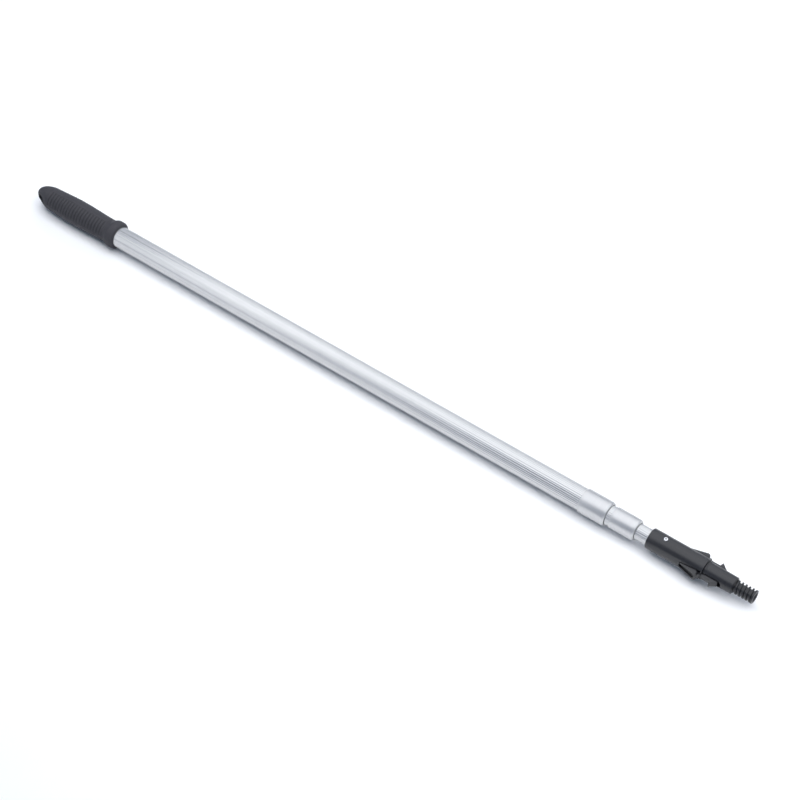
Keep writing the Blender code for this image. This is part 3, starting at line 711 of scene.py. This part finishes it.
def padPiece(side):
    # narrow behind and round in front, with a rim left standing about a sloping recess
    rear, front, half = -pad["rear"], -pad["front"], pad["frontHalf"]
    plan = rounded([
        (rear, -pad["rearHalf"], 0), (front, -half, pad["cornerRound"]),
        (front, half, pad["cornerRound"]), (rear, pad["rearHalf"], 0)
    ])
    piece = prism("pad", plan, *span(side, pad["rearInner"] - 1, pad["frontOuter"] + 1))
    brow = front - pad["lean"]
    flank = rounded([
        (rear - 1, pad["rearInner"], 0), (front + 0.5, pad["frontInner"], 0),
        (brow, pad["frontOuter"], pad["browRound"]), (rear - 1, pad["rearOuter"], 0)
    ])
    flank = [(x, side * y) for x, y in flank]
    carve(piece, prism("flank", flank, -half - 1, half + 1, "XY"), "INTERSECT")
    softened(piece, pad["edgeRound"], 2, 40)

    slope = (pad["frontOuter"] - pad["rearOuter"]) / (pad["rear"] - pad["front"] - pad["lean"])
    rim, end = pad["rimWidth"], brow - pad["rimWidth"]
    inner = half - rim - 0.5
    recess = rounded([
        (rear - 2, -pad["rearHalf"] + rim, 0), (end, -inner, inner * 0.85),
        (end, inner, inner * 0.85), (rear - 2, pad["rearHalf"] - rim, 0)
    ])
    bm = bmesh.new()
    corners = []
    for x, z in recess:
        floor = pad["rearOuter"] + slope * (x + pad["rear"]) - pad["recessDepth"]
        corners.append(bm.verts.new((x, side * floor, z)))
    pulled(bm, corners, (0, side * 6, 0))
    return carve(piece, pieceOf(bm, "recess"))


def leverPiece(name, side):
    pivotX, pivotY = -tip["pivotFromTip"], tip["pivotOffset"]
    boss = bow(pivotX, pivotY, lever["bossRadius"], lever["bossRadius"], 60, 300, 20)
    # from the boss along the inner face to the arm's front, then back over the barb and the pad
    seat, inner, outer = lever["seat"], lever["armInner"], lever["armOuter"]
    front, barbTip, barbHeight = -lever["armFront"], -lever["barbTip"], lever["barbHeight"]
    outline = boss + [
        (pivotX + lever["heel"], seat - lever["heelDrop"]), (pivotX + lever["seatFrom"], seat),
        (-pad["front"], seat), (front - 1, inner), (front, inner + 1),
        (front, outer - lever["noseSlant"]), (-lever["barbFront"], outer - lever["barbRise"]),
        (barbTip, barbHeight), (barbTip - 0.7, barbHeight - 0.3), (-lever["barbRear"], outer),
        (-pad["front"], outer), (-pad["rear"], pad["rearInner"] + 1),
    ]
    outline, half = [(x, side * y) for x, y in outline], lever["armHalf"]
    piece = prism(name, outline, -half, half, "XY")
    carve(piece, padPiece(side), "UNION")
    half = lever["stepHalf"]
    for rear, front, height in lever["steps"]:
        low, high = span(side, outer - 1, height)
        step = [(-rear, low), (-front, low), (-front, high), (-rear, high)]
        carve(piece, prism("step", step, -half, half, "XY"), "UNION")
    low, high = span(side, seat - lever["pegLength"], seat + 1)
    springPeg = peg("peg", low, high, lever["pegRadius"], "Y", (-lever["springFromTip"], 0, 0))
    carve(piece, springPeg, "UNION")
    at = (pivotX, side * pivotY, 0)
    carve(piece, peg("bore", -6, 6, tip["pivotHole"], "Z", at, 32))
    return softened(piece, 0.25, 2, 40)


rivet = {
    "headRadius": 2.95, "headHeight": 1.5, "edge": 0.35, "edgeChamfer": 0.1,
    "bore": 1.3, "shank": 2.0, "shankEnd": 7.0, "seatSink": 0.3,
}


def rivetHead(name, side):
    # a domed head with the hollow that the snapped mandrel leaves
    socketRear, _, socketRadius = reach("tip_socket")
    seat, head, bore = socketRadius - rivet["seatSink"], rivet["headRadius"], rivet["bore"]
    top, edge, chamfer = seat + rivet["headHeight"], rivet["edge"], rivet["edgeChamfer"]
    profile = [(rivet["shankEnd"], bore), (rivet["shankEnd"], rivet["shank"])]
    profile += [(seat, rivet["shank"]), (seat, head - chamfer), (seat + chamfer, head)]
    profile += bow(seat + edge, bore + edge, top - seat - edge, head - bore - edge, 90, 8, 12)
    profile += [(top - 0.12, bore + 0.1), (top - edge, bore)]
    piece = turnedPiece(name, profile, steps=64)
    upright = Matrix.Rotation(-side * math.pi / 2, 4, "Y")
    at = socketRear + socket["rivetFromRear"]
    piece.data.transform(Matrix.Translation((at, 0, 0)) @ upright)
    return piece


rubber = gripRubber("grip_rubber_finish")
nylon = mouldedNylon("black_nylon_finish")
acetal = whiteAcetal("white_acetal_finish")
zinc = zincSteel("zinc_steel_finish", (0.55, 0.57, 0.60), (0.70, 0.70, 0.69))
# painted shade: the mandrels deep in the rivet heads get a near-black steel for the shade in their hollow
mandrelPaintedShade = zincSteel("mandrel_painted_shade_finish", (0.10, 0.10, 0.11), (0.20, 0.20, 0.21))
collarMetal = turnedCollar("collar_finish")
rivetMetal = rivetAluminium("rivet_finish")

sections = {"outer": "outer_section", "middle": "middle_section", "inner": "inner_section"}
for section, body in sections.items():
    tubeMetal = anodisedTube(section + "_tube_finish", tubes["tone"])
    fitted(flutedTube(section), body, [section + "_tube"], tubeMetal, 50)
print("tubes fluted")

for section, inside in (("outer", "middle"), ("middle", "inner")):
    piece = turnedCollarPiece(section, inside)
    fitted(piece, sections[section], [section + "_collar"], collarMetal, 30)
print("collars turned")

fitted(gripPiece(), "outer_section", ["grip"], rubber, 42)
print("grip moulded")

fitted(threadedTip(), "inner_section", ["threaded_tip"], nylon, 34)
fitted(socketPiece(), "inner_section", ["tip_socket"], nylon, 34)
for name, side in (("near_lever", -1), ("far_lever", 1)):
    fitted(leverPiece(name + "_moulding", side), name, [name], nylon, 34)
print("tip, socket and levers moulded")

for name, side in (("rivet_top", 1), ("rivet_bottom", -1)):
    head = rivetHead(name + "_head", side)
    fitted(head, "inner_section", [name], rivetMetal)
print("rivets set")

# CAD nodes that stay get the finish of their slot, and the rivets' mandrels a near-black steel that is
# painted shade for the hollow of the rivet heads
finishOf = {"white_acetal": acetal, "zinc_steel": zinc}
carried = {
    "end_plug": "white_acetal", "outer_guide_bush": "white_acetal", "middle_guide_bush": "white_acetal",
    "rivet_mandrel_top": "zinc_steel", "rivet_mandrel_bottom": "zinc_steel", "lever_spring": "zinc_steel",
    "lever_pin_near": "zinc_steel", "lever_pin_far": "zinc_steel",
}
for section in ("middle", "inner"):
    for node in ("expander", "lock_cone", "lock_plug"):
        carried[section + "_" + node] = "white_acetal"
    for node in ("lock_pin", "lock_stud", "stop_nut"):
        carried[section + "_" + node] = "zinc_steel"
for node, slot in carried.items():
    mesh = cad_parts[node].data
    mesh.materials.clear()
    mesh.materials.append(mandrelPaintedShade if node.startswith("rivet_mandrel") else finishOf[slot])
print("lock parts finished")


studio = {
    "floorSize": 14.0, "skyTone": (0.115, 0.16, 0.245),
    # each light's place, the spot it faces, its two sides and the brightness of its face; the
    # panels are what metal and plastic mirror, and the others light the floor and the shadows
    "lights": {
        "key": ((0.95, -0.08, 1.5), (0.95, -0.08, 0), 5.0, 1.4, 2.45),
        "wash": ((0.3, 1.55, 1.2), (0.3, 1.55, 0), 4.0, 0.9, 2.3),
        "room": ((0.5, 0.3, 3.6), (0.5, 0.3, 0), 9.0, 9.0, 0.2),
        "panel_above": ((1.05, 0.0, 1.4), (1.05, 0, 0), 4.6, 1.96, 1.45),
        "panel_behind": ((0.9, 1.75, 1.3), (0.9, 0, 0.1), 5.8, 1.5, 1.15),
        "panel_front": ((0.9, -2.4, 1.0), (0.9, 0, 0.3), 6.3, 1.9, 0.24),
        "panel_left": ((-2.1, -0.9, 1.3), (-0.4, 0, 0), 3.4, 1.9, 0.93),
    },
}


def floorFinish(name):
    finish = Finish(name, Roughness=0.75, Specular_IOR_Level=0.2)
    mottle = finish.noise(3, 3, 0.6)
    colour = finish.blendOf(mottle, rgb(0.90, 0.90, 0.905), rgb(0.92, 0.92, 0.92))
    return finish.feed(Base_Color=colour)


def softLight(name, place, aim, long, wide, brightness):
    light = bpy.data.lights.new(name, "AREA")
    light.shape, light.size, light.size_y = "RECTANGLE", long, wide
    light.energy = brightness * math.pi * long * wide
    lamp = bpy.data.objects.new(name, light)
    lamp.location = place
    lamp.rotation_euler = (Vector(aim) - Vector(place)).to_track_quat("-Z", "Y").to_euler()
    lamp.visible_camera = False
    lamp.visible_glossy = name.startswith("panel")
    lamp.visible_diffuse = not lamp.visible_glossy
    bpy.context.scene.collection.objects.link(lamp)


bm = bmesh.new()
bmesh.ops.create_grid(bm, x_segments=1, y_segments=1, size=studio["floorSize"] / 2)
floor = pieceOf(bm, "studio_floor")
floor.data.materials.append(floorFinish("floor_finish"))
for name, settings in studio["lights"].items():
    softLight(name, *settings)
world = bpy.data.worlds.new("studio")
world.use_nodes = True
world.node_tree.nodes["Background"].inputs["Color"].default_value = rgb(*studio["skyTone"])
bpy.context.scene.world = world
bpy.context.scene.view_settings.view_transform = "Standard"

view = {
    "lens": 87.75, "sensor": 36,
    "fromThreadEnd": (0.5036, -1.4124, 2.0223), "turn": (41.06, 0, 37.04),
}
camera = bpy.data.objects.new("camera", bpy.data.cameras.new("camera"))
camera.data.lens, camera.data.sensor_width = view["lens"], view["sensor"]
camera.location = Vector((threadEnd, 0, axisHeight)) + Vector(view["fromThreadEnd"])
camera.rotation_euler = [math.radians(angle) for angle in view["turn"]]
bpy.context.scene.collection.objects.link(camera)
bpy.context.scene.camera = camera
print("studio and camera set")
